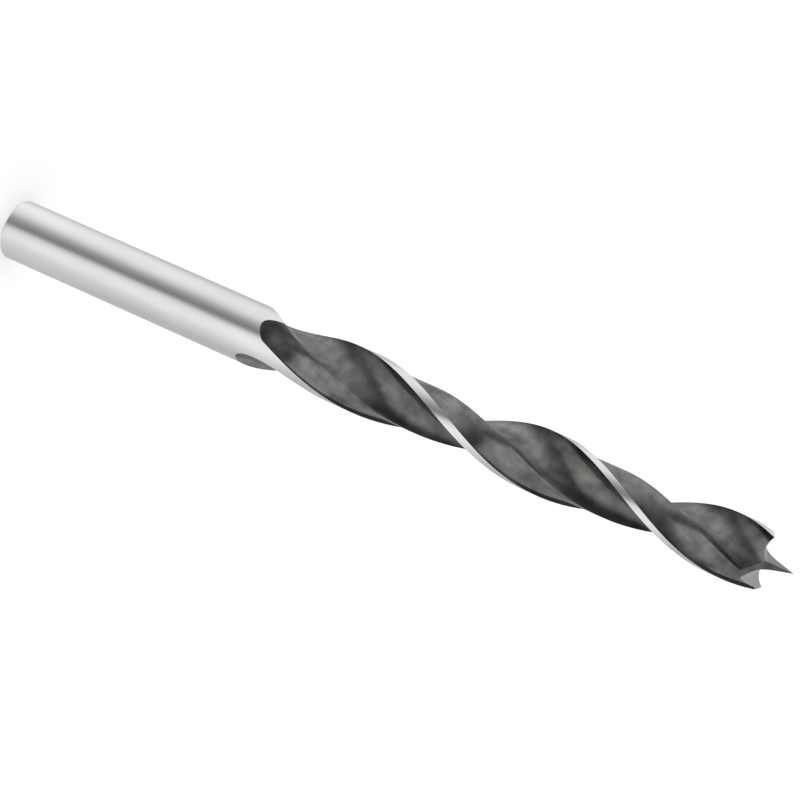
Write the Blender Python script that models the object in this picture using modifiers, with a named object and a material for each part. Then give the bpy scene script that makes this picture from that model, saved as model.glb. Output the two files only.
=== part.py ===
"""Brad point drill bit for wood, nine millimetres, with two flutes and a round shank.

The bit is built in the order in which the real one is made. A round blank is turned,
a flute and the body clearance behind each margin are milled along a twisted path, and
the end is ground to a centre point, two cutting lips and two outer spurs.

Sizes are in metres. The bit stands on the flat end of its shank: the origin is the
centre of that end, +Z runs along the axis to the centre point, and the cutting lips
lie along X. It cuts when it turns anticlockwise as seen from the point. Angles round
the section are measured back from a land's leading edge, against that turning.
"""

import math

import bmesh
import bpy
from mathutils import Matrix, Vector

# The blank
DIAMETER = 0.009
OVERALL_LENGTH = 0.125
SHANK_CHAMFER = 0.0002
GRINDING_STOCK = 0.0005         # length that the grinding takes off the blank

# The lands and flutes, as a section square to the axis
LANDS = 2
LAND_ANGLE = math.radians(73.4)  # from the leading edge back to the heel
CLEARANCE_DEPTH = 0.00096       # how far the land behind the margin lies below it
CLEARANCE_OVERRUN = math.radians(8.6)   # how far its cutter passes the heel
STEP_FILLET = 0.0003            # the corner between the margin's step and the clearance

# The flutes wind faster, and leave a narrower margin and a thinner web, nearer the point
FLUTED_LENGTH = 0.0842          # from the centre point back to where the flutes run out
LEAD_AT_SHANK = 0.0732
LEAD_AT_POINT = 0.0547
MARGIN_AT_SHANK = 0.0019
MARGIN_AT_POINT = 0.0009
WEB_AT_SHANK = 0.0030
WEB_AT_POINT = 0.0024

# Where the cutters leave the blank
RUNOUT_RADIUS = 0.023           # the curve in which the flute rises to the surface
CLEARANCE_DELAY = 0.0025        # how far past the start of the flute the clearance starts
CLEARANCE_RUNOUT_RADIUS = 0.010
CLEARANCE_NOSE = 0.0013         # its rounded end, from the middle to a third of the way out
NOSE_ANGLE = math.radians(45)
NOSE_SPREAD = math.radians(23)

# The ground end
POINT_HEIGHT = 0.00366          # the centre point above the outer spurs
POINT_HALF_ANGLE = math.radians(10.8)
CHISEL_LENGTH = 0.00003         # the edge in which the centre point ends
LIP_SLOPE = math.radians(20)    # each lip falls from its spur to the notch
NOTCH_RADIUS = 0.0011           # between a lip and the centre point
RELIEF_ANGLE = math.radians(24)
THINNING_RADIUS = 0.0045        # at the foot of the centre point's other sides
THINNING_OFFSET = 0.00004       # the thinning pass stays this far above the notch

# How finely curves are cut into facets
BLANK_SEGMENTS = 64
TWIST_PER_RING = math.radians(6.2)
RUNOUT_RING_STEP = 0.0007
CLEARANCE_STEPS = 8
FLUTE_STEPS = 13
FILLET_STEPS = 3
NOTCH_STEPS = 6
THINNING_STEPS = 6

RADIUS = DIAMETER / 2
CLEARANCE_RADIUS = RADIUS - CLEARANCE_DEPTH
LAND_PITCH = 2 * math.pi / LANDS
FLUTE_START = OVERALL_LENGTH - FLUTED_LENGTH
SPUR_HEIGHT = OVERALL_LENGTH - POINT_HEIGHT

# The cutters reach past the blank, to these multiples of its radius
CUTTER_EDGE = 1.15 * RADIUS
CUTTER_CEILING = 1.25 * RADIUS
CUTTER_OUTSIDE = 1.4 * RADIUS


def clear_scene():
    """Remove every object of the scene that the script starts in."""
    for obj in list(bpy.data.objects):
        bpy.data.objects.remove(obj, do_unlink=True)


def new_collection(name):
    """Add a collection to the scene."""
    collection = bpy.data.collections.new(name)
    bpy.context.scene.collection.children.link(collection)
    return collection


def object_from_bmesh(name, shape, collection):
    """Turn a bmesh into an object with its normals outward."""
    bmesh.ops.recalc_face_normals(shape, faces=shape.faces)
    mesh = bpy.data.meshes.new(name)
    shape.to_mesh(mesh)
    shape.free()
    obj = bpy.data.objects.new(name, mesh)
    collection.objects.link(obj)
    return obj


def along_flute(z):
    """Share of the fluted length at a height, nought where the flutes start."""
    return (z - FLUTE_START) / FLUTED_LENGTH


def twist_at(z):
    """Angle of the first leading edge at a height, nought at the outer spurs.

    The rate of twist eases from that of the lead at the shank to that at the point.
    """
    rate_shank = 2 * math.pi / LEAD_AT_SHANK
    rate_point = 2 * math.pi / LEAD_AT_POINT

    def turned(height):
        left = 1 - along_flute(height)
        easing = (rate_point - rate_shank) * FLUTED_LENGTH * left ** 3 / 3
        return rate_point * (height - FLUTE_START) + easing

    return turned(z) - turned(SPUR_HEIGHT)


def margin_angle(z):
    """Width of the margin at a height, as an angle."""
    left = 1 - min(1.0, max(0.0, along_flute(z)))
    width = MARGIN_AT_POINT + (MARGIN_AT_SHANK - MARGIN_AT_POINT) * left ** 2
    return width / RADIUS


def web_at(z):
    """Thickness of the core at a height."""
    left = 1 - min(1.0, max(0.0, along_flute(z)))
    return WEB_AT_POINT + (WEB_AT_SHANK - WEB_AT_POINT) * left


def runout_length(radius, depth):
    """Length over which a run-out curve climbs by a depth."""
    return math.sqrt(radius ** 2 - (radius - depth) ** 2)


def lift_at(z, radius, full_depth):
    """How far a cutter has risen at a height from its full depth farther on."""
    before = full_depth - z
    if before <= 0:
        return 0.0
    if before >= radius:
        return radius
    return radius - math.sqrt(radius ** 2 - before ** 2)


def section_point(radius, angle):
    """A point of the section from its radius and its angle behind the leading edge."""
    return Vector((radius * math.cos(angle), -radius * math.sin(angle)))


def flute_circle(z):
    """The circle that forms the flute: its centre's distance and angle, and its radius.

    It runs through the heel and the next leading edge, and its nearest point to the
    axis leaves half the web.
    """
    heel = section_point(CLEARANCE_RADIUS, LAND_ANGLE)
    edge = section_point(RADIUS, LAND_PITCH)
    middle = (heel + edge) / 2
    half_chord = (edge - heel).length / 2
    outward = Vector((edge.y - heel.y, heel.x - edge.x)).normalized()
    if outward.dot(middle) < 0:
        outward = -outward
    half_web = web_at(z) / 2
    distance = middle.dot(outward)
    spread = middle.length_squared - half_chord ** 2 - half_web ** 2
    a = 4 * (distance ** 2 - half_web ** 2)
    b = 4 * spread * distance
    c = spread ** 2 - (2 * half_web * half_chord) ** 2
    offset = (-b + math.sqrt(b * b - 4 * a * c)) / (2 * a)
    centre = middle + outward * offset
    angle = math.atan2(-centre.y, centre.x) % (2 * math.pi)
    return centre.length, angle, math.hypot(half_chord, offset)


def flute_section(z, land):
    """Section of the flute cutter at a height: an arc with straight flanks outward.

    The arc goes on to the cutter's edge, past both corners of the flute.
    """
    distance, behind, radius = flute_circle(z)
    depth = RADIUS - web_at(FLUTE_START) / 2
    full_depth = FLUTE_START + runout_length(RUNOUT_RADIUS, depth)
    lift = lift_at(z, RUNOUT_RADIUS, full_depth)
    reach = (distance ** 2 + radius ** 2 - CUTTER_EDGE ** 2) / (2 * distance * radius)
    half = math.acos(reach)
    outline = []
    for step in range(FLUTE_STEPS + 1):
        angle = half * (2 * step / FLUTE_STEPS - 1)
        outline.append(Vector((distance - radius * math.cos(angle), radius * math.sin(angle))))
    outline.append(Vector((distance + CUTTER_OUTSIDE, outline[-1].y)))
    outline.append(Vector((distance + CUTTER_OUTSIDE, outline[0].y)))
    turn = Matrix.Rotation(twist_at(z) + land * LAND_PITCH - behind, 2)
    points = [turn @ (point + Vector((lift, 0))) for point in outline]
    return [Vector((p.x, p.y, z)) for p in points]


def clearance_section(z, land):
    """Section of the cutter that clears the land behind the margin, at a height.

    It comes down in a step at the margin, with a fillet, and follows the land to past
    the heel. Its end near the shank is rounded: it starts latest at its two sides.
    """
    margin = margin_angle(z)
    fillet = STEP_FILLET / CLEARANCE_RADIUS
    corner = margin + fillet
    last = LAND_ANGLE + CLEARANCE_OVERRUN
    floor = []
    for step in range(FILLET_STEPS):
        turn = math.pi / 2 * step / FILLET_STEPS
        rise = STEP_FILLET * (1 - math.sin(turn))
        floor.append((CLEARANCE_RADIUS + rise, corner - fillet * math.cos(turn)))
    for step in range(CLEARANCE_STEPS + 1):
        angle = corner + (last - corner) * step / CLEARANCE_STEPS
        floor.append((CLEARANCE_RADIUS, angle))
    start = FLUTE_START + CLEARANCE_DELAY
    start += runout_length(CLEARANCE_RUNOUT_RADIUS, CLEARANCE_DEPTH)
    loop = [(CUTTER_OUTSIDE, margin), (CUTTER_CEILING, margin)]
    for radius, angle in floor:
        full_depth = start + CLEARANCE_NOSE * ((angle - NOSE_ANGLE) / NOSE_SPREAD) ** 2
        lift = lift_at(z, CLEARANCE_RUNOUT_RADIUS, full_depth)
        loop.append((min(CUTTER_CEILING, radius + lift), angle))
    for step in range(CLEARANCE_STEPS + 1):
        angle = last + (margin - last) * step / (CLEARANCE_STEPS + 1)
        loop.append((CUTTER_OUTSIDE, angle))
    turn = Matrix.Rotation(twist_at(z) + land * LAND_PITCH, 2)
    points = [turn @ section_point(radius, angle) for radius, angle in loop]
    return [Vector((p.x, p.y, z)) for p in points]


def ring_heights():
    """Heights of the cutters' sections, close together where they leave the blank."""
    z = FLUTE_START - RUNOUT_RING_STEP
    top = OVERALL_LENGTH + 2 * GRINDING_STOCK
    coarse = TWIST_PER_RING * LEAD_AT_POINT / (2 * math.pi)
    depth = RADIUS - web_at(FLUTE_START) / 2
    full_depth = FLUTE_START + runout_length(RUNOUT_RADIUS, depth)
    heights = []
    while z < top - coarse / 2:
        heights.append(z)
        step = coarse * TWIST_PER_RING / (twist_at(z + coarse) - twist_at(z))
        z += min(step, RUNOUT_RING_STEP) if z < full_depth else step
    heights.append(top)
    return heights


def loft(name, sections, collection):
    """Join a row of like sections into one closed body."""
    shape = bmesh.new()
    rings = [[shape.verts.new(point) for point in section] for section in sections]
    count = len(rings[0])
    for lower, upper in zip(rings, rings[1:]):
        for i in range(count):
            j = (i + 1) % count
            shape.faces.new((lower[i], lower[j], upper[j], upper[i]))
    shape.faces.new(rings[0])
    shape.faces.new(rings[-1])
    return object_from_bmesh(name, shape, collection)


def make_blank(collection):
    """Turn the blank: a cylinder with a small chamfer at the shank's end."""
    top = OVERALL_LENGTH + GRINDING_STOCK
    profile = [
        (0, top),
        (RADIUS, top),
        (RADIUS, SHANK_CHAMFER),
        (RADIUS - SHANK_CHAMFER, 0),
        (0, 0),
    ]
    mesh = bpy.data.meshes.new("drill_bit")
    edges = [(i, i + 1) for i in range(len(profile) - 1)]
    mesh.from_pydata([(x, 0, z) for x, z in profile], edges, [])
    blank = bpy.data.objects.new("drill_bit", mesh)
    collection.objects.link(blank)
    turned = blank.modifiers.new("turned", "SCREW")
    turned.steps = BLANK_SEGMENTS
    turned.render_steps = BLANK_SEGMENTS
    turned.use_merge_vertices = True
    turned.merge_threshold = 0.00001
    return blank


def make_milling_cutters(collection):
    """The paths of the flute cutter and the clearance cutter, for each land."""
    heights = ring_heights()
    for land in range(LANDS):
        number = land + 1
        flute = [flute_section(z, land) for z in heights]
        clearance = [clearance_section(z, land) for z in heights]
        loft(f"flute_cutter_{number}", flute, collection)
        loft(f"clearance_cutter_{number}", clearance, collection)


def sweep(name, outline, start, travel, collection):
    """Sweep a wheel's outline in a straight line, from a start along a vector."""
    shape = bmesh.new()
    face = shape.faces.new([shape.verts.new(point + start) for point in outline])
    swept = bmesh.ops.extrude_face_region(shape, geom=[face])
    moved = [item for item in swept["geom"] if isinstance(item, bmesh.types.BMVert)]
    bmesh.ops.translate(shape, vec=travel, verts=moved)
    return object_from_bmesh(name, shape, collection)


def notch_arc():
    """The fillet between a lip and the centre point: its centre and its two ends."""
    steep = Vector((math.sin(POINT_HALF_ANGLE), -math.cos(POINT_HALF_ANGLE)))
    lip = Vector((math.cos(LIP_SLOPE), math.sin(LIP_SLOPE)))
    point = Vector((0, OVERALL_LENGTH))
    gap = Vector((RADIUS, SPUR_HEIGHT)) - point
    along = (gap.x * lip.y - gap.y * lip.x) / (steep.x * lip.y - steep.y * lip.x)
    corner = point + steep * along
    tangent = NOTCH_RADIUS / math.tan((-steep).angle(lip) / 2)
    start = corner - steep * tangent
    end = corner + lip * tangent
    centre = end + Vector((-lip.y, lip.x)) * NOTCH_RADIUS
    return centre, start, end


def lip_outline():
    """Outline of the wheel that grinds a lip and one side of the centre point."""
    centre, start, end = notch_arc()
    first = start - centre
    sweep_angle = first.angle_signed(end - centre)
    rise = DIAMETER
    outline = [Vector((-rise * math.tan(POINT_HALF_ANGLE), OVERALL_LENGTH + rise))]
    for step in range(NOTCH_STEPS + 1):
        turn = Matrix.Rotation(-sweep_angle * step / NOTCH_STEPS, 2)
        outline.append(centre + turn @ first)
    beyond = (CUTTER_OUTSIDE - RADIUS) * math.tan(LIP_SLOPE)
    outline.append(Vector((CUTTER_OUTSIDE, SPUR_HEIGHT + beyond)))
    outline.append(Vector((CUTTER_OUTSIDE, OVERALL_LENGTH + rise)))
    return [Vector((p.x, 0, p.y)) for p in outline]


def thinning_outline():
    """Outline of the rounded wheel that thins the web to a side of the centre point."""
    steep = Vector((math.sin(POINT_HALF_ANGLE), -math.cos(POINT_HALF_ANGLE)))
    fall = Vector((math.cos(RELIEF_ANGLE), -math.sin(RELIEF_ANGLE)))
    point = Vector((CHISEL_LENGTH / 2, OVERALL_LENGTH))
    notch_centre, _, _ = notch_arc()
    level = notch_centre.y - NOTCH_RADIUS + THINNING_OFFSET
    gap = Vector((0, level)) - point
    along = (gap.x * fall.y - gap.y * fall.x) / (steep.x * fall.y - steep.y * fall.x)
    corner = point + steep * along
    tangent = THINNING_RADIUS / math.tan((-steep).angle(fall) / 2)
    start = corner - steep * tangent
    end = corner + fall * tangent
    centre = start + Vector((-steep.y, steep.x)) * THINNING_RADIUS
    sweep_angle = (start - centre).angle_signed(end - centre)
    outline = [point - steep * DIAMETER]
    for step in range(THINNING_STEPS + 1):
        turn = Matrix.Rotation(-sweep_angle * step / THINNING_STEPS, 2)
        outline.append(centre + turn @ (start - centre))
    outline.append(end + fall * CUTTER_OUTSIDE)
    outline.append(Vector((outline[-1].x, outline[0].y)))
    return [Vector((0, p.x, p.y)) for p in outline]


def make_grinding_wheels(collection):
    """The passes that grind the end: a lip wheel and a thinning wheel for each land."""
    fall = math.tan(RELIEF_ANGLE)
    lip_start = Vector((0, RADIUS, RADIUS * fall))
    lip_travel = Vector((0, -2 * CUTTER_OUTSIDE, -2 * CUTTER_OUTSIDE * fall))
    notch_centre, _, _ = notch_arc()
    thin_start = Vector((-notch_centre.x, 0, 0))
    thin_travel = Vector((notch_centre.x + CUTTER_OUTSIDE, 0, 0))
    for land in range(LANDS):
        number = land + 1
        lip = sweep(f"lip_wheel_{number}", lip_outline(), lip_start, lip_travel, collection)
        thin = sweep(f"thinning_wheel_{number}", thinning_outline(), thin_start,
                     thin_travel, collection)
        for wheel in (lip, thin):
            wheel.rotation_euler.z = land * LAND_PITCH


def cut(body, cutters):
    """Cut a piece with a collection of cutters that stay out of the model."""
    for cutter in cutters.objects:
        cutter.hide_render = True
        cutter.display_type = "WIRE"
    boolean = body.modifiers.new("milled_and_ground", "BOOLEAN")
    boolean.operation = "DIFFERENCE"
    boolean.solver = "EXACT"
    boolean.operand_type = "COLLECTION"
    boolean.collection = cutters


def steel():
    """Bright ground tool steel."""
    material = bpy.data.materials.new("ground_steel")
    material.use_nodes = True
    shader = material.node_tree.nodes["Principled BSDF"]
    shader.inputs["Base Color"].default_value = (0.62, 0.62, 0.61, 1)
    shader.inputs["Metallic"].default_value = 1.0
    shader.inputs["Roughness"].default_value = 0.32
    return material


def main():
    clear_scene()
    parts = new_collection("brad_point_drill_bit")
    cutters = new_collection("cutters")
    bit = make_blank(parts)
    bit.data.materials.append(steel())
    make_milling_cutters(cutters)
    make_grinding_wheels(cutters)
    cut(bit, cutters)


main()
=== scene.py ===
"""Looks of the brad point drill bit: its fine surfaces, the finish of its steel and the studio.

The bit is one piece of steel. Its shank and margins are ground bright, its flutes and
the clearance behind the margins are left dark, and its point is ground afresh.
"""

import math
from collections import namedtuple

import bmesh
import bpy
from bpy.props import FloatProperty, FloatVectorProperty, PointerProperty
from mathutils import Matrix, Vector


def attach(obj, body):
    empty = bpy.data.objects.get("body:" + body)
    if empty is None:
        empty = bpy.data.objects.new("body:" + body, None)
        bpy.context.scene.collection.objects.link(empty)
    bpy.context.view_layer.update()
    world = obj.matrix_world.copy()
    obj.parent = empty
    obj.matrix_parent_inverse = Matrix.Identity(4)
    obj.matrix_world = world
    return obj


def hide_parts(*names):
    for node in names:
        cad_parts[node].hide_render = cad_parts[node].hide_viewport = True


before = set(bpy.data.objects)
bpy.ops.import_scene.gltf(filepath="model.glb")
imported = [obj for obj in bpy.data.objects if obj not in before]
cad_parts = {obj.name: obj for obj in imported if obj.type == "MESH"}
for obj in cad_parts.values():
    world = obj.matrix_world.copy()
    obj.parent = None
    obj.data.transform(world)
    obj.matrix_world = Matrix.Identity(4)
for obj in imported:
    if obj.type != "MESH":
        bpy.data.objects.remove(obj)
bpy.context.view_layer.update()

bl_info = {
    "name": "Brad point drill bit",
    "version": (1, 0, 0),
    "blender": (4, 5, 0),
    "location": "View3D > Sidebar > Drill Bit",
    "description": "Models the twisted lands of a brad point bit, its steel and its studio",
    "category": "Object",
}

PITCH = math.pi                 # from one of the two lands to the other

# The finishes, in the order of the piece's materials
GROUND, STEP, CLEARANCE, FLUTE, RELIEF, THINNING = range(6)

# How many faces cross the margin, the uncut surface up to the clearance, its rise, its
# level part, the uncut surface up to the heel, and the flute
LandFaces = namedtuple("LandFaces", "margin uncut rise level heel flute")
LAND_FACES = LandFaces(margin=14, uncut=6, rise=14, level=20, heel=22, flute=44)

# The rings of the mesh along the bit
RING_SPACING = 0.00026
RUNOUT_SPACING = 0.7            # in the run-outs, as a share of the spacing
RUNOUT_OVERLAP = 0.001          # it goes on this far past their end
PLAIN_RING = 0.0002             # from the last ring of the shank to the flutes
FLUTE_NOSE = 0.0012             # the round end of the flutes
NOSE_GAP = 0.0013               # from there to the round end of the clearance
NOSE_RINGS = 9
GAP_RINGS = 7
SHANK_RINGS = 60
GRINDING_STOCK = 0.0005         # length that the grinding takes off the point
SAME_PLACE = 1e-7               # points closer than this are one
LOWEST_STEP = 1e-6              # below this, a step has the finish of the clearance
HALVINGS = 40                   # of the angle in which the heel is sought
MAP_SCALE = 100                 # units of the map to a metre of height

# The wheels that grind the point
WHEEL_REACH = 0.7               # how far out they reach, in diameters from the axis
THINNING_OFFSET = 0.00004       # the thinning wheel stays this far above the notch
HALF_CHISEL = 0.000015          # half of the edge in which the centre point ends
NOTCH_STEPS = 16
THINNING_STEPS = 24
# painted dark reflection: past this reach from the axis the thinned faces darken
PAINTED_REFLECTION_REACH = (0.0011, 0.0019)   # from the axis, where the thinned faces change tone

# How much each pattern adds to the wear of the dark steel, and the range that it is cut to
STREAKS = 0.6
PATCHES = 2.5
MOTTLE = 0.25
WEAR_RANGE = (1.17, 2.18)
WARM_RANGE = (0.54, 0.74)       # where the tone turns warm, in its own pattern
WARM_BLUE = 0.91                # how much blue is left there
JUST_INSIDE = 0.9999            # keeps the last point of a flute from counting as a margin

# Painted light and shade: what the dark steel's tone is multiplied by, by the share of the way
# to the other land. The clearance gets painted light beside the step and painted shade at its
# heel. The flute gets painted light at its heel and painted shade towards its leading edge. The
# step gets none.
STEP_EDGES = ((0.0, 1.0), (1.0, 1.0))
LAND_PAINTED_LIGHT_AND_SHADE = ((0.10, 1.2), (0.16, 1.0), (0.385, 1.0), (0.405, 0.88))
FLUTE_PAINTED_LIGHT_AND_SHADE = ((0.405, 1.25), (0.45, 1.0), (0.89, 1.0), (0.94, 0.82), (0.985, 0.62), (0.997, 0.4))

FLOOR_GREY = 0.7
FLOOR_GLOW = 0.36

# The photograph's view: how far the bit's axis rises towards the camera, how far it is
# rolled and the bit turned, and where the end of the shank lies before the camera
CAMERA_AZIMUTH = math.radians(47.35)
AXIS_RISE = math.radians(19.304)
AXIS_ROLL = math.radians(23.975)
BIT_TURN = math.radians(42.653)
SHANK_END = (-0.056235, 0.025167, -0.370429)

# The brightness of the light tent by the angle from the camera: level with the bit, above
# it and below it, and by the height
TENT_PEAK = 1.4
FOOT_HEIGHTS = (-0.42, -0.75)   # where the walls give way to the foot, and where it is alone
TOP_HEIGHTS = (-0.02, 0.2)      # the same for the top
TENT_WALLS = (
    (-180, 0.52), (-150, 0.53), (-110, 0.52), (-88, 0.62), (-68, 0.74), (-48, 0.90),
    (-26, 0.96), (-10, 0.82), (-1, 0.56), (5, 0.31), (12, 0.23), (22, 0.28), (36, 0.43),
    (50, 0.68), (64, 0.85), (85, 0.90), (108, 0.86), (130, 0.68), (150, 0.56), (180, 0.52),
)
TENT_TOP = (
    (-180, 0.85), (-150, 1.0), (-118, 1.0), (-106, 0.75), (-97, 0.2), (-88, 0.04),
    (-70, 0.07), (-50, 0.11), (-20, 0.09), (10, 0.08), (30, 0.12), (60, 0.19), (90, 0.36),
    (112, 0.7), (140, 0.9), (180, 0.85),
)
TENT_FOOT = (
    (-180, 0.50), (-150, 0.75), (-120, 1.0), (-102, 1.0), (-86, 0.85), (-68, 0.68),
    (-48, 0.61), (-26, 0.60), (-10, 0.52), (-1, 0.45), (5, 0.33), (22, 0.30), (36, 0.38),
    (50, 0.47), (75, 0.85), (90, 1.2), (105, TENT_PEAK), (135, 1.3), (160, 0.8), (180, 0.5),
)
TENT_LAYERS = (
    (-90, 0.7), (-65, 0.9), (-50, 1.0), (-35, 1.0), (-20, 1.0), (-8, 0.94),
    (3, 0.75), (12, 0.5), (90, 0.4),
)


def length(name, description, default, **more):
    """A size in metres, as a property."""
    return FloatProperty(name=name, description=description, default=default,
                         unit="LENGTH", precision=5, **more)


def angle(name, description, degrees):
    """An angle property whose default is given in degrees."""
    return FloatProperty(name=name, description=description,
                         default=math.radians(degrees), unit="ROTATION")


def share(name, description, default):
    """A property between nought and one."""
    return FloatProperty(name=name, description=description, default=default,
                         min=0.0, max=1.0, subtype="FACTOR")


def colour(name, description, default):
    """A linear colour property."""
    return FloatVectorProperty(name=name, description=description, default=default,
                               size=3, min=0.0, max=1.0, subtype="COLOR")


class BitSizes(bpy.types.PropertyGroup):
    """Sizes of the bit, measured from the end of the shank along its axis."""

    diameter: length("Diameter", "Across the margins and the shank", 0.009)
    overall_length: length("Length", "From the shank's end to the centre point", 0.125)
    chamfer: length("Chamfer", "At the end of the shank", 0.0002)
    fluted_length: length("Fluted length", "From the centre point to the run-out", 0.0842)
    land_angle: angle("Land", "From a leading edge back to its heel", 73.4)
    clearance_depth: length("Clearance", "Of the land, below its margin", 0.00096)
    rise: length("Rise", "Of the clearance towards the step", 0.0006)
    rise_spread: angle("Rise spread", "How far back the clearance still rises", 32.0)
    lead_shank: length("Lead at the shank", "Height of one turn of the flutes", 0.0732)
    lead_point: length("Lead at the point", "Height of one turn of the flutes", 0.0547)
    margin_shank: length("Margin at the shank", "Width of the ground margin", 0.0019)
    margin_point: length("Margin at the point", "Width of the ground margin", 0.0009)
    web_shank: length("Web at the shank", "Thickness of the core", 0.0030)
    web_point: length("Web at the point", "Thickness of the core", 0.0024)
    flute_runout: length("Flute run-out", "Radius in which a flute rises", 0.023)
    clearance_delay: length("Clearance delay", "Between the two run-outs", 0.0025)
    clearance_runout: length("Clearance run-out", "Radius in which it rises", 0.010)
    clearance_nose: length("Clearance nose", "How round the run-out's end is", 0.0013)
    point_height: length("Point", "Height of the centre point above the spurs", 0.00366)
    point_angle: angle("Point angle", "Between the point's axis and a side", 10.8)
    lip_slope: angle("Lip slope", "Fall of a lip from its spur to the notch", 20.0)
    relief: angle("Relief", "Fall of the ground face behind a lip", 24.0)
    notch_radius: length("Notch", "Radius between a lip and the centre point", 0.0011)
    thinning_radius: length("Thinning", "Radius at the foot of the point", 0.0045)


class SteelFinish(bpy.types.PropertyGroup):
    """Colours and roughness of the steel."""

    ground: colour("Ground steel", "Shank and margins", (0.86, 0.86, 0.86))
    ground_roughness: share("Ground roughness", "Shank and margins", 0.16)
    flute: colour("Flute steel", "The flutes", (0.188, 0.188, 0.187))
    clearance: colour("Clearance steel", "Behind the margins", (0.225, 0.225, 0.224))
    wear: share("Wear", "How much the dark steel varies", 0.36)
    dark_roughness: share("Dark roughness", "Flutes and clearance", 0.2)
    step: colour("Step", "The step beside a margin", (0.24, 0.24, 0.237))
    relief: colour("Relief", "The ground faces behind the lips", (0.385, 0.385, 0.385))
    thinning: colour("Thinning", "The hollow faces of the point", (0.29, 0.29, 0.287))
    # painted dark reflection: the thinned faces darken to this tone away from the axis, carrying
    # on the dark band of the flutes
    thinning_painted_reflection: colour("Thinning end", "The same faces away from the point", (0.09, 0.09, 0.089))


class StudioSettings(bpy.types.PropertyGroup):
    """Light, floor and camera."""

    world_strength: FloatProperty(name="Surroundings", description="Strength of the white world",
                                  default=1.0, min=0.0)
    floor_size: length("Floor", "Side of the floor", 6.0)
    lens: FloatProperty(name="Lens", description="Focal length", default=113.09,
                        unit="CAMERA")


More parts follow.
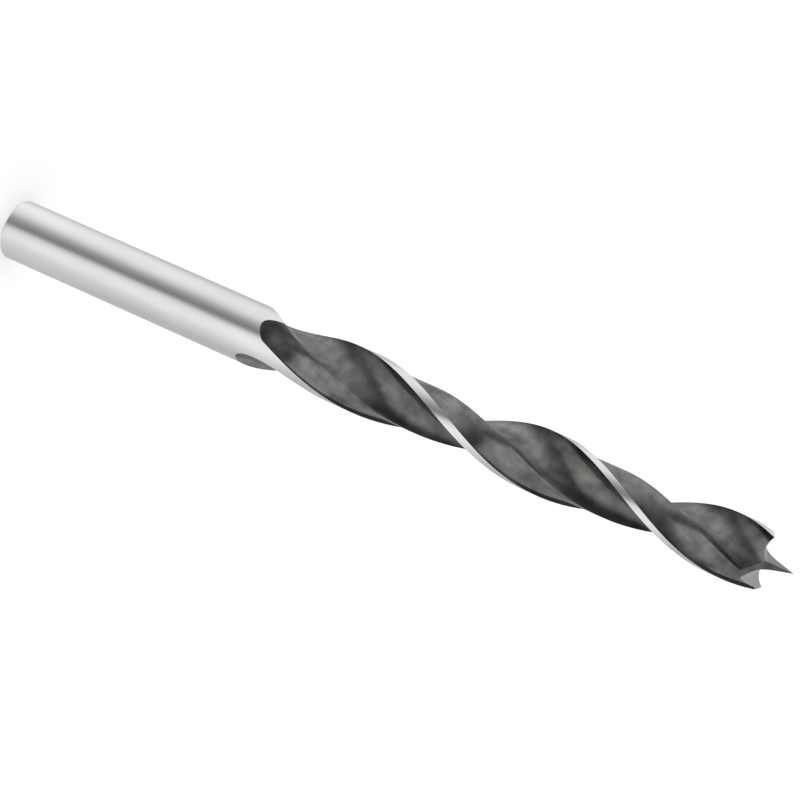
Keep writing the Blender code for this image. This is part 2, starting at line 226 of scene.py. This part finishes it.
class Section:
    """The section of the bit square to its axis, at a height.

    Angles are measured back from a land's leading edge at the outer spurs, against the
    turning of the bit, and the whole section is turned by twist.
    """

    nose_angle = math.radians(45)       # where the clearance's round end is foremost
    nose_spread = math.radians(23)
    clearance_end = math.radians(82)
    widest_rise = 0.6                   # as a share of the clearance's width

    def __init__(self, bit):
        self.bit = bit
        self.radius = bit.diameter / 2
        self.floor = self.radius - bit.clearance_depth
        self.start = bit.overall_length - bit.fluted_length
        self.spurs = bit.overall_length - bit.point_height
        self.flute_full = self.start + self.climb(bit.flute_runout,
                                                  self.radius - bit.web_shank / 2)
        self.nose_start = self.start + bit.clearance_delay
        self.clearance_climb = self.climb(bit.clearance_runout, bit.clearance_depth)

    @staticmethod
    def climb(radius, depth):
        """Length over which a run-out curve climbs by a depth."""
        return math.sqrt(radius ** 2 - (radius - depth) ** 2)

    @staticmethod
    def lift(before, radius):
        """How far a cutter has risen, this far before its full depth."""
        if before <= 0:
            return 0.0
        return radius - math.sqrt(max(0.0, radius ** 2 - min(before, radius) ** 2))

    def left(self, z):
        """Share of the flutes between a height and the point."""
        return 1 - min(1.0, max(0.0, (z - self.start) / self.bit.fluted_length))

    def twist(self, z):
        """Angle of the first leading edge, nought at the outer spurs."""
        slow = 2 * math.pi / self.bit.lead_shank
        fast = 2 * math.pi / self.bit.lead_point

        def turned(height):
            rest = 1 - (height - self.start) / self.bit.fluted_length
            easing = (fast - slow) * self.bit.fluted_length * rest ** 3 / 3
            return fast * (height - self.start) + easing

        return turned(z) - turned(self.spurs)

    def margin(self, z):
        """Width of the margin as an angle."""
        bit = self.bit
        width = bit.margin_point + (bit.margin_shank - bit.margin_point) * self.left(z) ** 2
        return width / self.radius

    def flute(self, z):
        """Distance and angle of the centre of the flute's circle, and its radius."""
        bit = self.bit
        half_web = (bit.web_point + (bit.web_shank - bit.web_point) * self.left(z)) / 2
        heel = Vector((self.floor * math.cos(bit.land_angle),
                       -self.floor * math.sin(bit.land_angle)))
        edge = Vector((-self.radius, 0))
        middle = (heel + edge) / 2
        half_chord = (edge - heel).length / 2
        outward = Vector((edge.y - heel.y, heel.x - edge.x)).normalized()
        if outward.dot(middle) < 0:
            outward = -outward
        distance = middle.dot(outward)
        spread = middle.length_squared - half_chord ** 2 - half_web ** 2
        a = 4 * (distance ** 2 - half_web ** 2)
        b = 4 * spread * distance
        c = spread ** 2 - (2 * half_web * half_chord) ** 2
        offset = (-b + math.sqrt(b * b - 4 * a * c)) / (2 * a)
        centre = middle + outward * offset
        rise = self.lift(self.flute_full - z, bit.flute_runout)
        behind = math.atan2(-centre.y, centre.x) % (2 * math.pi)
        return centre.length + rise, behind, math.hypot(half_chord, offset)

    def clearance(self, z, at):
        """Distance from the axis to the clearance surface, at an angle."""
        full = self.nose_start + self.clearance_climb
        full += self.bit.clearance_nose * ((at - self.nose_angle) / self.nose_spread) ** 2
        return self.floor + self.lift(full - z, self.bit.clearance_runout)

    def nose(self, z):
        """The angles between which the clearance lies below the blank's surface."""
        past = z - self.nose_start
        if past <= 0:
            return self.nose_angle, self.nose_angle
        spread = self.nose_spread * math.sqrt(past / self.bit.clearance_nose)
        return self.nose_angle - spread, min(self.clearance_end, self.nose_angle + spread)

    def heel(self, z, distance, behind, radius):
        """The angle at which the flute meets the land, or the middle of the flute."""
        first, last = self.nose(z)

        def land(at):
            if first < at < last:
                return min(self.radius, self.clearance(z, at))
            return self.radius

        def flute(at):
            turned = at - behind
            inside = radius ** 2 - (distance * math.sin(turned)) ** 2
            if inside <= 0:
                return 2 * self.radius
            return distance * math.cos(turned) - math.sqrt(inside)

        if distance - radius >= self.radius:
            return behind
        low = self.margin(z)
        high = behind
        for _ in range(HALVINGS):
            middle = (low + high) / 2
            if flute(middle) < land(middle):
                high = middle
            else:
                low = middle
        return (low + high) / 2

    def land_points(self, z, faces):
        """One land and its flute as distances, angles and finishes, from the leading edge."""
        distance, behind, radius = self.flute(z)
        open_flute = distance - radius < self.radius
        if open_flute:
            reach = distance ** 2 + self.radius ** 2 - radius ** 2
            wide = math.acos(min(1.0, reach / (2 * distance * self.radius)))
        else:
            wide = 0.0
        lead = behind + wide
        heel = self.heel(z, distance, behind, radius)
        first, last = self.nose(z)
        margin = self.margin(z)
        wall = min(max(margin, first), heel)
        end = max(min(last, heel), wall)
        spread = min(self.bit.rise_spread, (end - wall) * self.widest_rise)
        points = []

        def add(at, at_radius, finish):
            points.append((min(at_radius, self.radius), at, finish))

        for i in range(faces.margin):
            at = lead - PITCH + (margin - lead + PITCH) * i / faces.margin
            add(at, self.radius, GROUND)
        for i in range(faces.uncut):
            add(margin + (wall - margin) * i / faces.uncut, self.radius, GROUND)
        add(wall, self.radius, STEP)
        depth = self.radius - self.clearance(z, wall) if end > wall else 0.0
        rise = self.bit.rise * max(0.0, depth) / self.bit.clearance_depth
        for i in range(faces.rise):
            left = 1 - i / faces.rise
            at = wall + spread * (1 - left)
            base = self.clearance(z, at) if end > wall else self.radius
            add(at, base + rise * left ** 2, CLEARANCE)
        for i in range(faces.level + 1):
            at = wall + spread + (end - wall - spread) * i / faces.level
            add(at, self.clearance(z, at) if end > wall else self.radius, CLEARANCE)
        heel_radius = self.clearance(z, heel) if end == heel else self.radius
        for i in range(faces.heel):
            add(end + (heel - end) * i / faces.heel, heel_radius, GROUND)
        if open_flute:
            heel_radius = min(self.radius, heel_radius)
            start = self.on_circle(heel, heel_radius, distance, behind, radius)
            stop = self.on_circle(lead, self.radius, distance, behind, radius)
        for i in range(faces.flute):
            if open_flute:
                turn = start + (stop - start) * i / faces.flute
                x = distance - radius * math.cos(turn)
                y = radius * math.sin(turn)
                points.append((math.hypot(x, y), behind + math.atan2(y, x), FLUTE))
            else:
                points.append((self.radius, heel, GROUND))
        return points

    @staticmethod
    def on_circle(at, at_radius, distance, behind, radius):
        """Where a point of the section lies on the flute's circle, as its own angle."""
        x = at_radius * math.cos(at - behind)
        y = at_radius * math.sin(at - behind)
        return math.atan2(y, distance - x)


def ring_heights(section, spacing, runout_spacing):
    """Heights of the rings from the shank to past the point, closer at the run-outs."""
    bit = section.bit
    heights = [section.start - PLAIN_RING]
    for start, reach in ((section.start, FLUTE_NOSE), (section.nose_start, bit.clearance_nose)):
        heights += [start + reach * (i / NOSE_RINGS) ** 2 for i in range(NOSE_RINGS + 1)]
    for i in range(1, GAP_RINGS):
        heights.append(section.start + FLUTE_NOSE + NOSE_GAP * i / GAP_RINGS)
    z = section.nose_start + bit.clearance_nose + runout_spacing
    top = bit.overall_length + GRINDING_STOCK
    runout_end = section.flute_full + RUNOUT_OVERLAP
    while z < top - spacing / 2:
        heights.append(z)
        z += runout_spacing if z < runout_end else spacing
    heights.append(top)
    return sorted(heights)


def twisted_body(bit, faces, spacing, runout_spacing):
    """Loft the shank and the twisted lands from sections, with a finish for each face.

    The edges of the margins, the steps and the flutes run along the mesh, so that each
    surface stays smooth up to its edge.
    """
    section = Section(bit)
    shape = bmesh.new()
    along = shape.loops.layers.uv.new("along_the_flutes")
    heights = ring_heights(section, spacing, runout_spacing)
    rings = []
    radii = []
    across = []
    finishes = []

    def add_ring(z, points, turn):
        ring = []
        for at_radius, at, _ in points:
            around = turn - at
            ring.append(shape.verts.new((at_radius * math.cos(around),
                                         at_radius * math.sin(around), z)))
        rings.append(ring)
        radii.append([at_radius for at_radius, _, _ in points])
        across.append([at for _, at, _ in points])
        finishes.append([finish for _, _, finish in points])
        half = len(points) // 2
        for end in (half, 2 * half):
            heel = points[end - faces.flute][1]
            step = (points[0][1] + PITCH * end / half - heel) / faces.flute
            for i in range(faces.flute):
                across[-1][end - faces.flute + i] = heel + step * i

    def both_lands(z):
        one = section.land_points(z, faces)
        other = [(at_radius, at + PITCH, finish) for at_radius, at, finish in one]
        return one + other

    first = both_lands(heights[0])
    turn = section.twist(heights[0])
    count = len(first)
    even = [2 * math.pi * i / count + first[0][1] for i in range(count)]
    chamfer = bit.chamfer
    shank = [(0.0, section.radius - chamfer, 0.0), (chamfer, section.radius, 0.0)]
    for i in range(1, SHANK_RINGS):
        z = chamfer + (heights[0] - chamfer) * i / SHANK_RINGS
        shank.append((z, section.radius, i / SHANK_RINGS))
    for z, at_radius, mix in shank:
        ring = [(at_radius, even[i] + (first[i][1] - even[i]) * mix, GROUND)
                for i in range(count)]
        add_ring(z, ring, turn)
    for z in heights:
        add_ring(z, both_lands(z), section.twist(z))
    for k in range(len(rings) - 1):
        lower, upper = rings[k], rings[k + 1]
        for i in range(count):
            j = (i + 1) % count
            corners = (lower[j], lower[i], upper[i], upper[j])
            face = shape.faces.new(corners)
            finish = finishes[k + 1][i]
            if finish == CLEARANCE and finishes[k + 1][j] != CLEARANCE:
                if radii[k + 1][j] - radii[k + 1][i] > LOWEST_STEP:
                    finish = STEP
            lowest = min(radii[k][i], radii[k][j], radii[k + 1][i], radii[k + 1][j])
            if lowest > section.radius - SAME_PLACE:
                finish = GROUND
            face.material_index = finish
            places = ((k, j), (k, i), (k + 1, i), (k + 1, j))
            for loop, (ring_at, point_at) in zip(face.loops, places):
                at = across[ring_at][point_at]
                if point_at == 0 and i == count - 1:
                    at += 2 * math.pi
                loop[along].uv = (at, rings[ring_at][point_at].co.z * MAP_SCALE)
    shape.faces.new(rings[0])
    shape.faces.new(list(reversed(rings[-1])))
    bmesh.ops.remove_doubles(shape, verts=shape.verts, dist=SAME_PLACE)
    bmesh.ops.dissolve_degenerate(shape, edges=shape.edges, dist=SAME_PLACE)
    bmesh.ops.recalc_face_normals(shape, faces=shape.faces)
    mesh = bpy.data.meshes.new("brad_point_bit")
    shape.to_mesh(mesh)
    shape.free()
    body = bpy.data.objects.new("brad_point_bit", mesh)
    bpy.context.collection.objects.link(body)
    return body


def alone(obj):
    """Select one object and make it active."""
    bpy.ops.object.select_all(action="DESELECT")
    obj.select_set(True)
    bpy.context.view_layer.objects.active = obj


def notch(bit):
    """The fillet between a lip and the centre point: its centre, first point and turn."""
    steep = Vector((math.sin(bit.point_angle), -math.cos(bit.point_angle)))
    lip = Vector((math.cos(bit.lip_slope), math.sin(bit.lip_slope)))
    point = Vector((0, bit.overall_length))
    spur = Vector((bit.diameter / 2, bit.overall_length - bit.point_height))
    return fillet(point, steep, spur, lip, bit.notch_radius)


def fillet(start_at, start_way, end_at, end_way, radius):
    """An arc from one straight line to another: its centre, its first point and its turn."""
    gap = end_at - start_at
    cross = start_way.x * end_way.y - start_way.y * end_way.x
    corner = start_at + start_way * ((gap.x * end_way.y - gap.y * end_way.x) / cross)
    tangent = radius / math.tan((-start_way).angle(end_way) / 2)
    start = corner - start_way * tangent
    end = corner + end_way * tangent
    centre = end + Vector((-end_way.y, end_way.x)) * radius
    turn = (start - centre).angle_signed(end - centre)
    return centre, start, turn


def arc(centre, start, turn, steps):
    """Points along an arc."""
    ways = (Matrix.Rotation(-turn * i / steps, 2) for i in range(steps + 1))
    return [centre + way @ (start - centre) for way in ways]


def lip_profile(bit, steps):
    """Outline of the wheel that grinds a lip and one side of the centre point."""
    centre, start, turn = notch(bit)
    rise = bit.diameter
    outside = bit.diameter * WHEEL_REACH
    level = bit.overall_length - bit.point_height
    outline = [Vector((-rise * math.tan(bit.point_angle), bit.overall_length + rise))]
    outline += arc(centre, start, turn, steps)
    fall = (outside - bit.diameter / 2) * math.tan(bit.lip_slope)
    outline.append(Vector((outside, level + fall)))
    outline.append(Vector((outside, bit.overall_length + rise)))
    return outline


def thinning_profile(bit, steps):
    """Outline of the rounded wheel that thins the web to a side of the centre point."""
    steep = Vector((math.sin(bit.point_angle), -math.cos(bit.point_angle)))
    fall = Vector((math.cos(bit.relief), -math.sin(bit.relief)))
    centre, _, _ = notch(bit)
    level = Vector((0, centre.y - bit.notch_radius + THINNING_OFFSET))
    point = Vector((HALF_CHISEL, bit.overall_length))
    middle, start, turn = fillet(point, steep, level, fall, bit.thinning_radius)
    outline = [point - steep * bit.diameter]
    outline += arc(middle, start, turn, steps)
    outline.append(outline[-1] + fall * bit.diameter)
    outline.append(Vector((outline[-1].x, outline[0].y)))
    return outline


def wheel(name, corners, travel, turn):
    """Sweep a wheel's outline along its way, as a body that cuts."""
    bpy.ops.object.select_all(action="DESELECT")
    mesh = bpy.data.meshes.new(name)
    mesh.from_pydata(corners, [], [list(range(len(corners)))])
    obj = bpy.data.objects.new(name, mesh)
    bpy.context.collection.objects.link(obj)
    alone(obj)
    bpy.ops.object.mode_set(mode="EDIT")
    bpy.ops.mesh.select_all(action="SELECT")
    bpy.ops.mesh.extrude_region_move(TRANSFORM_OT_translate={"value": travel})
    bpy.ops.mesh.select_all(action="SELECT")
    bpy.ops.transform.rotate(value=-turn, orient_axis="Z", center_override=(0, 0, 0))
    bpy.ops.mesh.normals_make_consistent(inside=False)
    bpy.ops.object.mode_set(mode="OBJECT")
    return obj


def grind_point(body, bit):
    """Grind the lips, the spurs and the centre point, each from both sides."""
    centre, _, _ = notch(bit)
    fall = math.tan(bit.relief)
    radius = bit.diameter / 2
    outside = bit.diameter * WHEEL_REACH
    lip = [(p.x, radius, p.y + radius * fall) for p in lip_profile(bit, NOTCH_STEPS)]
    thin = [(-centre.x, p.x, p.y) for p in thinning_profile(bit, THINNING_STEPS)]
    lip_way = (0, -2 * outside, -2 * outside * fall)
    thin_way = (centre.x + outside, 0, 0)
    wheels = bpy.data.collections.new("grinding_wheels")
    bpy.context.scene.collection.children.link(wheels)
    made = []
    for turn in (0, PITCH):
        made.append(wheel("lip_wheel", lip, lip_way, turn))
        made.append(wheel("thinning_wheel", thin, thin_way, turn))
    for obj in made:
        for material in body.data.materials:
            obj.data.materials.append(material)
        finish = THINNING if obj.name.startswith("thinning") else RELIEF
        for face in obj.data.polygons:
            face.material_index = finish
        bpy.context.collection.objects.unlink(obj)
        wheels.objects.link(obj)
    alone(body)
    ground = body.modifiers.new("ground_point", "BOOLEAN")
    ground.operation = "DIFFERENCE"
    ground.solver = "EXACT"
    ground.operand_type = "COLLECTION"
    ground.collection = wheels
    bpy.ops.object.modifier_apply(modifier=ground.name)
    for obj in made:
        bpy.data.objects.remove(obj, do_unlink=True)
    bpy.data.collections.remove(wheels)


class Nodes:
    """The nodes of a material or a world, added and joined by short calls."""

    def __init__(self, owner):
        if isinstance(owner, str):
            owner = bpy.data.materials.new(owner)
            owner.use_nodes = True
        self.material = owner
        self.tree = owner.node_tree
        self.shader = self.tree.nodes.get("Principled BSDF")

    def add(self, kind, inputs=None, **settings):
        """Add a node; an input is a number, a colour or another node's output."""
        node = self.tree.nodes.new(kind)
        for key, value in settings.items():
            setattr(node, key, value)
        for key, value in (inputs or {}).items():
            self.set(node.inputs[key], value)
        return node

    def set(self, socket, value):
        """Give a socket a value or a link."""
        if isinstance(value, bpy.types.NodeSocket):
            self.tree.links.new(value, socket)
        else:
            socket.default_value = value

    def ramp(self, value, stops):
        """Turn a value into a colour or grey through stops."""
        node = self.add("ShaderNodeValToRGB", {"Fac": value})
        ramp = node.color_ramp
        stops = list(stops)
        while len(ramp.elements) < len(stops):
            ramp.elements.new(0.5)
        for element, (place, tone) in zip(ramp.elements, stops):
            element.position = place
            element.color = tone if len(tone) == 4 else (*tone, 1)
        return node.outputs["Color"]

    def calc(self, operation, *values):
        """A number worked out from numbers and other nodes' outputs."""
        node = self.add("ShaderNodeMath", dict(enumerate(values)), operation=operation)
        return node.outputs["Value"]

    def mix(self, factor, one, other, blend="MIX"):
        """A colour between two others, or one blended with the other."""
        node = self.add("ShaderNodeMix", {0: factor, 6: one, 7: other}, data_type="RGBA",
                        blend_type=blend)
        return node.outputs[2]

    def mirrored(self, rays):
        """One for the rays that metal or glass sends on, and nought for others."""
        return self.calc("MAXIMUM", rays["Is Glossy Ray"], rays["Is Transmission Ray"])

    def dot(self, vector, way):
        """How far a direction points along another."""
        node = self.add("ShaderNodeVectorMath", {0: vector, 1: way}, operation="DOT_PRODUCT")
        return node.outputs["Value"]

    def noise(self, vector, scale, detail=3.0, roughness=0.5):
        """A noise pattern between nought and one."""
        node = self.add("ShaderNodeTexNoise", {"Vector": vector, "Scale": scale,
                                               "Detail": detail, "Roughness": roughness})
        return node.outputs["Fac"]

    def stretched(self, source, scale):
        """Coordinates scaled by axis."""
        node = self.add("ShaderNodeMapping", {"Vector": source, "Scale": scale})
        return node.outputs["Vector"]

    def spread(self, value, low, high):
        """Spread a pattern's nought to one between two numbers."""
        node = self.add("ShaderNodeMapRange", {"Value": value, "To Min": low, "To Max": high})
        return node.outputs["Result"]

    def between(self, value, start, end):
        """How far a value has come from one number to another, from nought to one."""
        node = self.add("ShaderNodeMapRange", {"Value": value, "From Min": start,
                                               "From Max": end})
        return node.outputs["Result"]

    def shade(self, tone, pattern, depth):
        """A colour made darker and lighter by a pattern."""
        factor = self.spread(pattern, 1 - depth, 1 + depth)
        if not isinstance(tone, bpy.types.NodeSocket):
            tone = (*tone, 1)
        grey = self.add("ShaderNodeCombineColor",
                        {"Red": factor, "Green": factor, "Blue": factor})
        return self.mix(1.0, tone, grey.outputs["Color"], "MULTIPLY")

    def bump(self, height, distance):
        """Relief from a height pattern."""
        node = self.add("ShaderNodeBump", {"Height": height, "Distance": distance,
                                           "Strength": 1.0})
        self.tree.links.new(node.outputs["Normal"], self.shader.inputs["Normal"])


def ground_steel(finish):
    """Bright steel with fine rings from the grinding, a few deeper than the rest."""
    nodes = Nodes("ground_steel")
    place = nodes.add("ShaderNodeTexCoord").outputs["Object"]
    rings = nodes.noise(nodes.stretched(place, (60, 60, 9000)), scale=1.0, detail=4.0)
    cloud = nodes.noise(nodes.stretched(place, (420, 420, 90)), scale=1.0, detail=3.0)
    shader = nodes.shader
    nodes.set(shader.inputs["Base Color"], nodes.shade(finish.ground, cloud, depth=0.09))
    shader.inputs["Metallic"].default_value = 1.0
    rough = finish.ground_roughness
    nodes.set(shader.inputs["Roughness"], nodes.spread(rings, rough * 0.8, rough * 1.2))
    nodes.bump(rings, distance=0.0000006)
    return nodes.material


def dark_steel(name, tone, finish, edges):
    """Steel left dark from hardening, with streaks along the flutes and painted light and shade by
    the edges.

    The piece's map holds the angle behind a leading edge, and the height. The edges are
    stops of painted light and shade that the tone is multiplied by, at shares of the angle
    to the other land.
    """
    nodes = Nodes(name)
    flow = nodes.add("ShaderNodeUVMap", uv_map="along_the_flutes").outputs["UV"]
    streaks = nodes.noise(nodes.stretched(flow, (5, 0.35, 1)), scale=1.0, detail=4.0)
    place = nodes.add("ShaderNodeTexCoord").outputs["Object"]
    patches = nodes.noise(place, scale=420.0, detail=2.0)
    mottle = nodes.noise(place, scale=1500.0, detail=4.0, roughness=0.6)
    streaked = nodes.calc("MULTIPLY", streaks, STREAKS)
    patched = nodes.calc("MULTIPLY_ADD", patches, PATCHES, streaked)
    mottled = nodes.calc("MULTIPLY_ADD", mottle, MOTTLE, patched)
    worn = nodes.between(mottled, *WEAR_RANGE)
    warmth = nodes.noise(nodes.stretched(flow, (1.6, 0.8, 1)), scale=1.0, detail=2.0)
    warm = (tone[0], tone[1], tone[2] * WARM_BLUE)
    tinted = nodes.ramp(warmth, zip(WARM_RANGE, (tone, warm)))
    across = nodes.add("ShaderNodeSeparateXYZ", {0: flow}).outputs["X"]
    lands = nodes.calc("MULTIPLY", nodes.calc("DIVIDE", across, PITCH), JUST_INSIDE)
    behind = nodes.calc("FRACT", lands)
    # painted light and shade across the land and the flute, from the stops in edges
    painted_light_and_shade = nodes.ramp(behind, [(at, (level,) * 3) for at, level in edges])
    toned = nodes.mix(1.0, tinted, painted_light_and_shade, "MULTIPLY")
    shader = nodes.shader
    nodes.set(shader.inputs["Base Color"], nodes.shade(toned, worn, depth=finish.wear))
    shader.inputs["Metallic"].default_value = 1.0
    rough = finish.dark_roughness
    nodes.set(shader.inputs["Roughness"], nodes.spread(streaks, rough * 0.8, rough * 1.25))
    nodes.bump(mottle, distance=0.000002)
    return nodes.material


def relief_steel(name, tone, end_tone):
    """Steel ground at the point, with straight marks and a second tone away from the axis: a
    painted dark reflection on the thinned faces.
    """
    nodes = Nodes(name)
    place = nodes.add("ShaderNodeTexCoord").outputs["Object"]
    marks = nodes.noise(nodes.stretched(place, (4000, 300, 2000)), scale=1.0, detail=3.0)
    flat = nodes.stretched(place, (1, 1, 0))
    away = nodes.add("ShaderNodeVectorMath", {0: flat}, operation="LENGTH").outputs["Value"]
    # away from the axis the tone goes over to end_tone, which on the thinned faces is a painted
    # dark reflection
    toned = nodes.ramp(nodes.between(away, *PAINTED_REFLECTION_REACH), [(0, tone), (1, end_tone)])
    shader = nodes.shader
    nodes.set(shader.inputs["Base Color"], nodes.shade(toned, marks, depth=0.12))
    shader.inputs["Metallic"].default_value = 1.0
    nodes.set(shader.inputs["Roughness"], nodes.spread(marks, low=0.30, high=0.42))
    nodes.bump(marks, distance=0.000001)
    return nodes.material


class BIT_OT_drill_bit(bpy.types.Operator):
    """Model the bit: shank, twisted lands and ground point, in place of its solid"""

    bl_idname = "object.make_drill_bit"
    bl_label = "Make the drill bit"

    def execute(self, context):
        bit = context.scene.bit_sizes
        finish = context.scene.bit_finish
        spacing = RING_SPACING
        body = twisted_body(bit, LAND_FACES, spacing, spacing * RUNOUT_SPACING)
        materials = (ground_steel(finish),
                     dark_steel("step_steel", finish.step, finish, STEP_EDGES),
                     # the clearance and the flute take painted light and shade from their stops
                     dark_steel("clearance_steel", finish.clearance, finish, LAND_PAINTED_LIGHT_AND_SHADE),
                     dark_steel("flute_steel", finish.flute, finish, FLUTE_PAINTED_LIGHT_AND_SHADE),
                     relief_steel("relief_steel", finish.relief, finish.relief),
                     # the thinned faces carry a painted dark reflection away from the axis
                     relief_steel("thinning_steel", finish.thinning, finish.thinning_painted_reflection))
        for material in materials:
            body.data.materials.append(material)
        grind_point(body, bit)
        alone(body)
        bpy.ops.object.shade_smooth_by_angle(angle=math.radians(28))
        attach(body, "root")
        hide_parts("drill_bit")
        return {"FINISHED"}


class BIT_OT_studio(bpy.types.Operator):
    """Set the stage: a white floor, soft light and the camera"""

    bl_idname = "object.make_studio"
    bl_label = "Make the studio"

    def execute(self, context):
        studio = context.scene.bit_studio
        bpy.ops.object.select_all(action="DESELECT")
        bpy.ops.mesh.primitive_plane_add(size=studio.floor_size, location=(0, 0, 0))
        floor = context.object
        floor.name = "floor"
        floor.data.materials.append(floor_paint())
        floor.visible_glossy = False    # the steel mirrors the tent's foot in its place
        light_tent(context.scene, studio.world_strength)
        place_camera(studio)
        context.scene.view_settings.view_transform = "Standard"
        return {"FINISHED"}


def floor_paint():
    """Pale floor that glows until the camera sees it as white, and that keeps a shadow."""
    nodes = Nodes("floor_paint")
    place = nodes.add("ShaderNodeTexCoord").outputs["Object"]
    grain = nodes.noise(place, scale=400.0, detail=3.0)
    shader = nodes.shader
    nodes.set(shader.inputs["Base Color"], nodes.shade((FLOOR_GREY,) * 3, grain, depth=0.01))
    shader.inputs["Roughness"].default_value = 0.9
    shader.inputs["Specular IOR Level"].default_value = 0.0
    rays = nodes.add("ShaderNodeLightPath").outputs
    seen = nodes.calc("MAXIMUM", rays["Is Camera Ray"], nodes.mirrored(rays))
    shader.inputs["Emission Color"].default_value = (1, 1, 1, 1)
    nodes.set(shader.inputs["Emission Strength"], nodes.calc("MULTIPLY", seen, FLOOR_GLOW))
    return nodes.material


def by_angle(levels, brightest=1.0):
    """Stops of a ramp from levels by degrees either way from the camera."""
    return [(0.5 + degrees / 360, (level / brightest,) * 3) for degrees, level in levels]


def light_tent(scene, strength):
    """Surround the bit with a white tent: open at the camera's side and dim overhead.

    The opening is a dark upright band beside the camera, which the round steel shows as
    its dark stripe. Only mirrored rays see the tent, and all others see plain white.
    """
    world = bpy.data.worlds.new("light_tent")
    scene.world = world
    world.use_nodes = True
    nodes = Nodes(world)
    way = nodes.add("ShaderNodeTexCoord").outputs["Generated"]
    ahead = nodes.dot(way, (math.cos(CAMERA_AZIMUTH), math.sin(CAMERA_AZIMUTH), 0))
    aside = nodes.dot(way, (math.sin(CAMERA_AZIMUTH), -math.cos(CAMERA_AZIMUTH), 0))
    height = nodes.dot(way, (0, 0, 1))
    around = nodes.between(nodes.calc("ARCTAN2", aside, ahead), -math.pi, math.pi)
    walls = nodes.ramp(around, by_angle(TENT_WALLS))
    top = nodes.ramp(around, by_angle(TENT_TOP))
    foot = nodes.mix(1.0, nodes.ramp(around, by_angle(TENT_FOOT, TENT_PEAK)),
                     (TENT_PEAK, TENT_PEAK, TENT_PEAK, 1), "MULTIPLY")
    layers = nodes.ramp(nodes.between(height, -1, 1), [
        (0.5 + 0.5 * math.sin(math.radians(degrees)), (level,) * 3)
        for degrees, level in TENT_LAYERS])
    sides = nodes.mix(nodes.between(height, *FOOT_HEIGHTS), walls, foot)
    lower = nodes.mix(1.0, sides, layers, "MULTIPLY")
    tent = nodes.mix(nodes.between(height, *TOP_HEIGHTS), lower, top)
    rays = nodes.add("ShaderNodeLightPath").outputs
    seen = nodes.mix(nodes.mirrored(rays), (1, 1, 1, 1), tent)
    background = world.node_tree.nodes["Background"]
    nodes.set(background.inputs["Color"], seen)
    background.inputs["Strength"].default_value = strength


def place_camera(studio):
    """Stand the camera where the photograph was taken, rolled so that the bit lies across."""
    camera = bpy.data.cameras.new("camera")
    camera.lens = studio.lens
    camera.sensor_width = 36
    camera.clip_start = 0.01
    obj = bpy.data.objects.new("camera", camera)
    bpy.context.scene.collection.objects.link(obj)
    level = math.cos(AXIS_RISE)
    axis = Vector((level * math.cos(AXIS_ROLL), -level * math.sin(AXIS_ROLL),
                   math.sin(AXIS_RISE)))
    up = Vector((math.sin(AXIS_ROLL), math.cos(AXIS_ROLL), 0))
    near = axis.cross(up)
    x = up * math.cos(BIT_TURN) + near * math.sin(BIT_TURN)
    y = near * math.cos(BIT_TURN) - up * math.sin(BIT_TURN)
    foot = Vector(SHANK_END)
    seen = Matrix(((x.x, y.x, axis.x, foot.x), (x.y, y.y, axis.y, foot.y),
                   (x.z, y.z, axis.z, foot.z), (0, 0, 0, 1)))
    obj.matrix_world = seen.inverted()
    bpy.context.scene.camera = obj


class BIT_PT_panel(bpy.types.Panel):
    """The bit's pieces, and the sizes and finishes that they are made with"""

    bl_idname = "BIT_PT_panel"
    bl_label = "Brad Point Drill Bit"
    bl_space_type = "VIEW_3D"
    bl_region_type = "UI"
    bl_category = "Drill Bit"

    def draw(self, context):
        layout = self.layout
        layout.operator(BIT_OT_drill_bit.bl_idname)
        layout.operator(BIT_OT_studio.bl_idname)
        for settings in ("bit_sizes", "bit_finish", "bit_studio"):
            group = getattr(context.scene, settings)
            column = layout.column(align=True)
            for name in group.bl_rna.properties.keys():
                if name not in {"rna_type", "name"}:
                    column.prop(group, name)


CLASSES = (BitSizes, SteelFinish, StudioSettings, BIT_OT_drill_bit, BIT_OT_studio,
           BIT_PT_panel)


def register():
    for item in CLASSES:
        bpy.utils.register_class(item)
    bpy.types.Scene.bit_sizes = PointerProperty(type=BitSizes)
    bpy.types.Scene.bit_finish = PointerProperty(type=SteelFinish)
    bpy.types.Scene.bit_studio = PointerProperty(type=StudioSettings)


def unregister():
    del bpy.types.Scene.bit_studio
    del bpy.types.Scene.bit_finish
    del bpy.types.Scene.bit_sizes
    for item in reversed(CLASSES):
        bpy.utils.unregister_class(item)


def main():
    """Make the bit and its studio."""
    register()
    bpy.ops.object.make_drill_bit()
    bpy.ops.object.make_studio()


if __name__ == "__main__":
    main()
